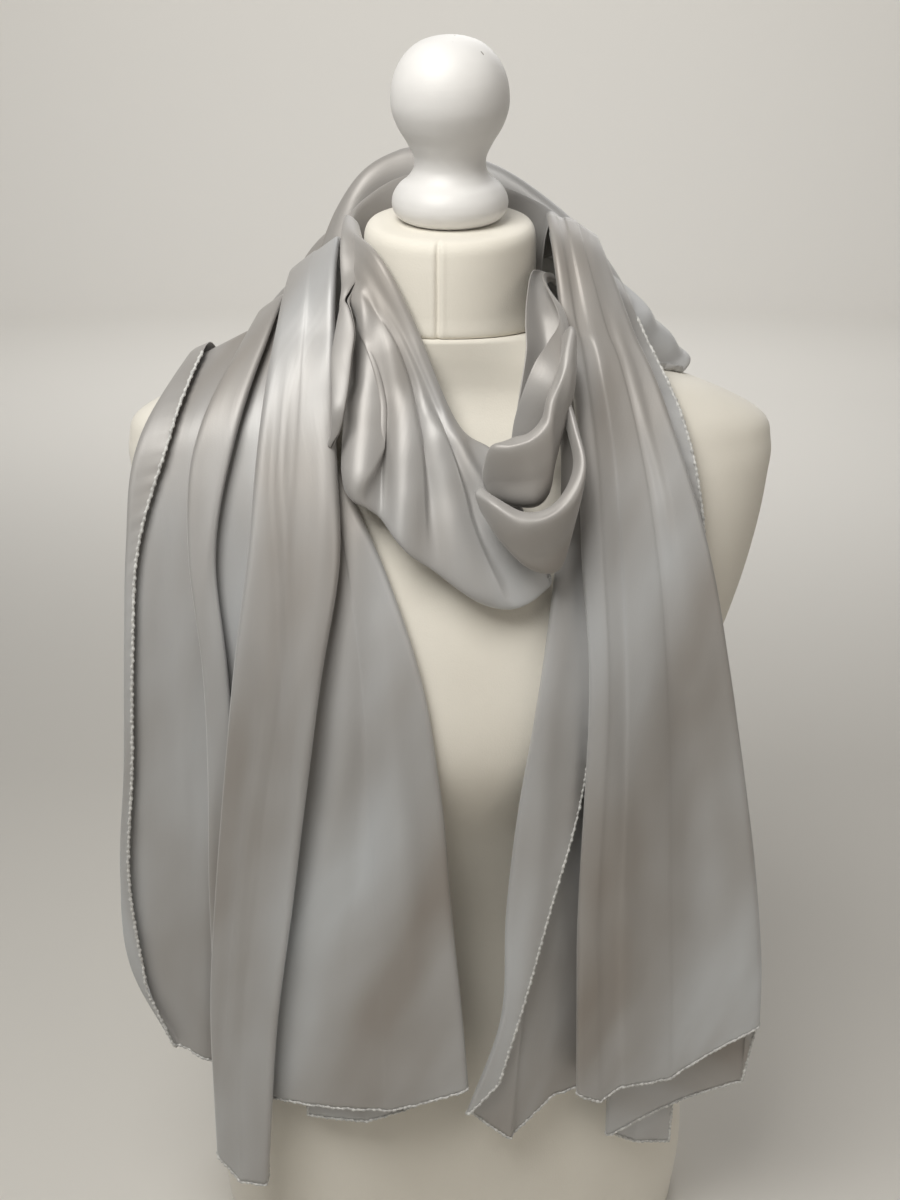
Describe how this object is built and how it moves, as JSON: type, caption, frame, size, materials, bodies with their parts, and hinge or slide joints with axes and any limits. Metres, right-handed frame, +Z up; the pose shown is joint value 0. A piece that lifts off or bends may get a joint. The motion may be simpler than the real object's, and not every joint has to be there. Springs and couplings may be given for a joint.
{
  "type": "evening stole on a dress form",
  "caption": "Satin stole with a rolled hem, wound round the neck of a limbless dress form, its ends hanging in front in lengthwise pleats.",
  "frame": {"origin": "centre of the form's flat underside, on the neck's upright axis", "axes": "+Z up along the neck's axis, +X to the viewer's right, -Y towards the viewer, who faces the chest"},
  "size_m": [0.4362, 0.2644, 0.8482],
  "materials": {
    "silver satin": "soft satin",
    "cream jersey": "matte knitted jersey",
    "white paint": "satin white paint on turned wood"
  },
  "bodies": {
    "root": {"left_end": "silver satin", "right_end": "silver satin", "cowl": "silver satin", "loop_petal": "silver satin", "loop_inner": "silver satin", "loop_outer": "silver satin", "nape_inner": "silver satin", "nape_outer": "silver satin", "form_torso": "cream jersey", "form_neck": "cream jersey", "form_knob": "white paint"}
  },
  "joints": []
}
